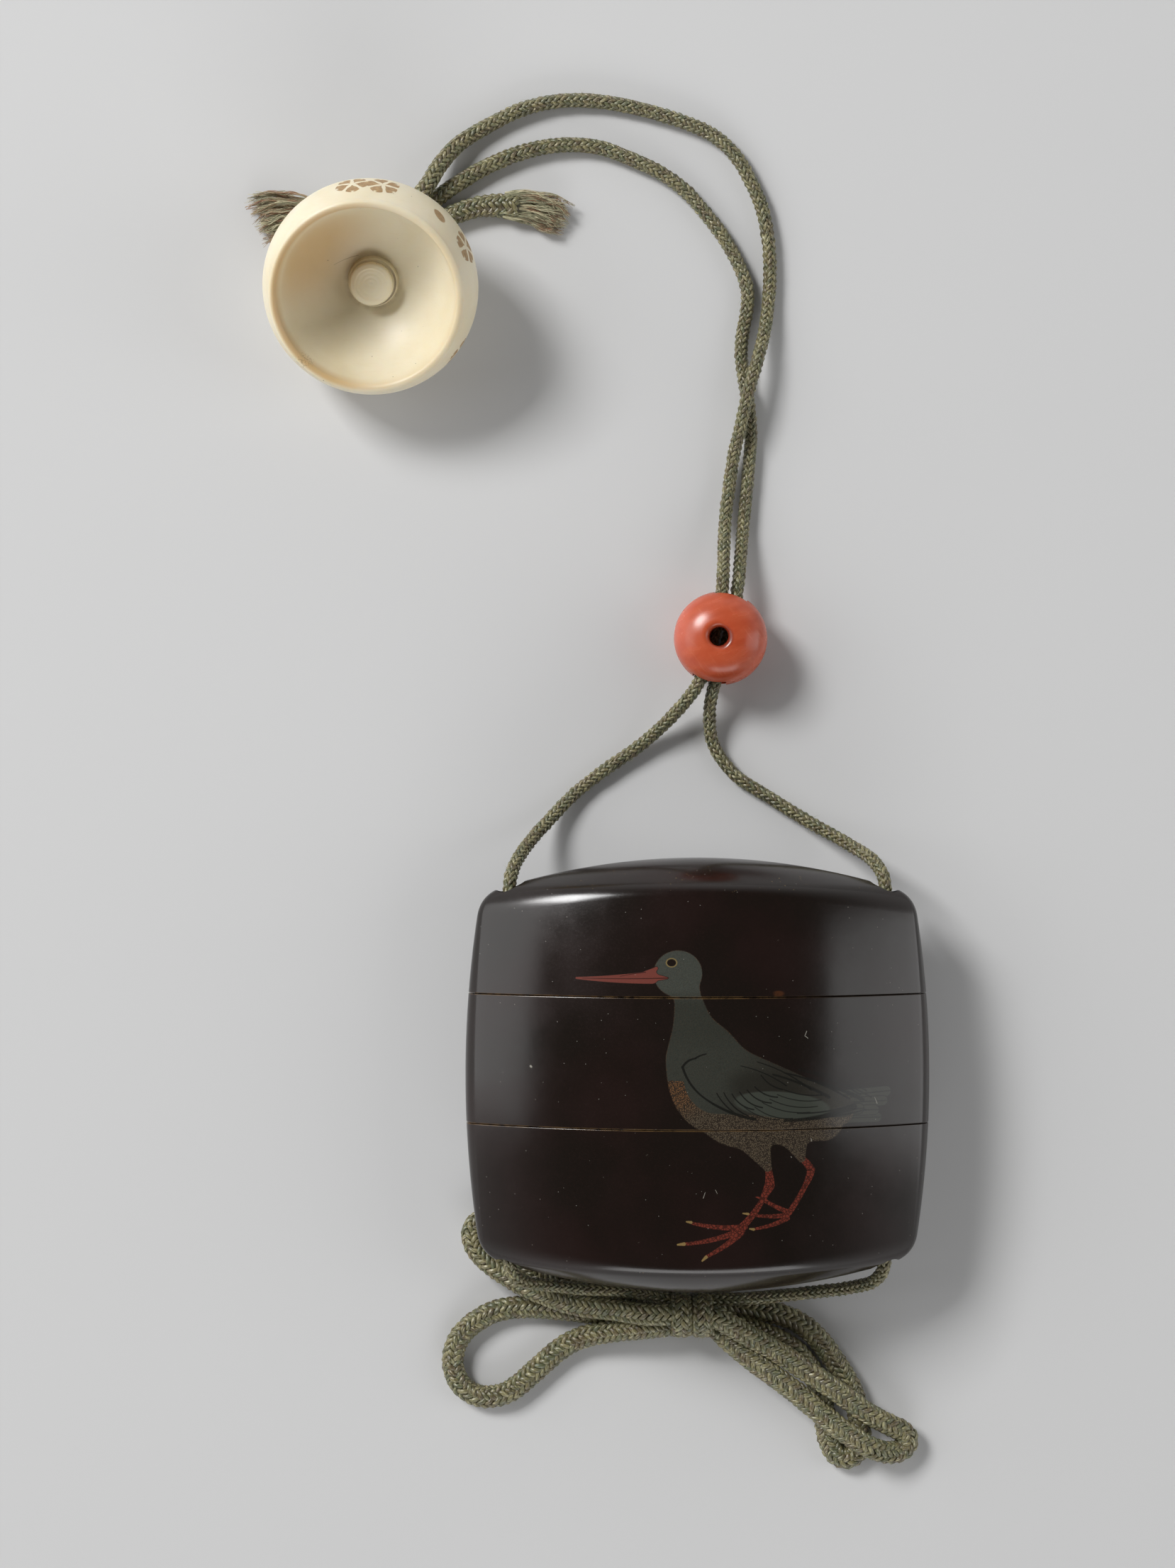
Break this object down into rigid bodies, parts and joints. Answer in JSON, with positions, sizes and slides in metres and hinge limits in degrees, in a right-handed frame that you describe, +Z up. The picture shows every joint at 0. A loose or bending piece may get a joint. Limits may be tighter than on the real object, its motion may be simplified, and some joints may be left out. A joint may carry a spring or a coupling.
{
  "type": "inro case",
  "caption": "Small lacquered case in stacked sections, lying on its back, with its braided cord, sliding bead, bow and bowl-shaped toggle.",
  "frame": {"origin": "centre of the small flat spot on the case's convex back, at the level of the surface that it lies on", "axes": "+Z up out of the surface, through the front of the case; +Y along the case, from the bow towards the bead and the netsuke; +X across the case, to the right seen from above"},
  "size_m": [0.1107, 0.2267, 0.0267],
  "materials": {
    "lacquer": "dark lacquer, satin gloss",
    "ivory": "polished ivory",
    "coral": "polished coral",
    "braid": "braided cord"
  },
  "bodies": {
    "root": {"inro_lid": "lacquer", "inro_middle_case": "lacquer", "inro_bottom_case": "lacquer", "netsuke_bowl": "ivory", "netsuke_stud": "ivory", "ojime_bead": "coral", "cord_left": "braid", "cord_right": "braid", "cord_end_left": "braid", "cord_end_right": "braid", "bow_loop_left_small": "braid", "bow_loop_left_large": "braid", "bow_loop_right_upper": "braid", "bow_loop_right_lower": "braid", "bow_knot": "braid"}
  },
  "joints": []
}
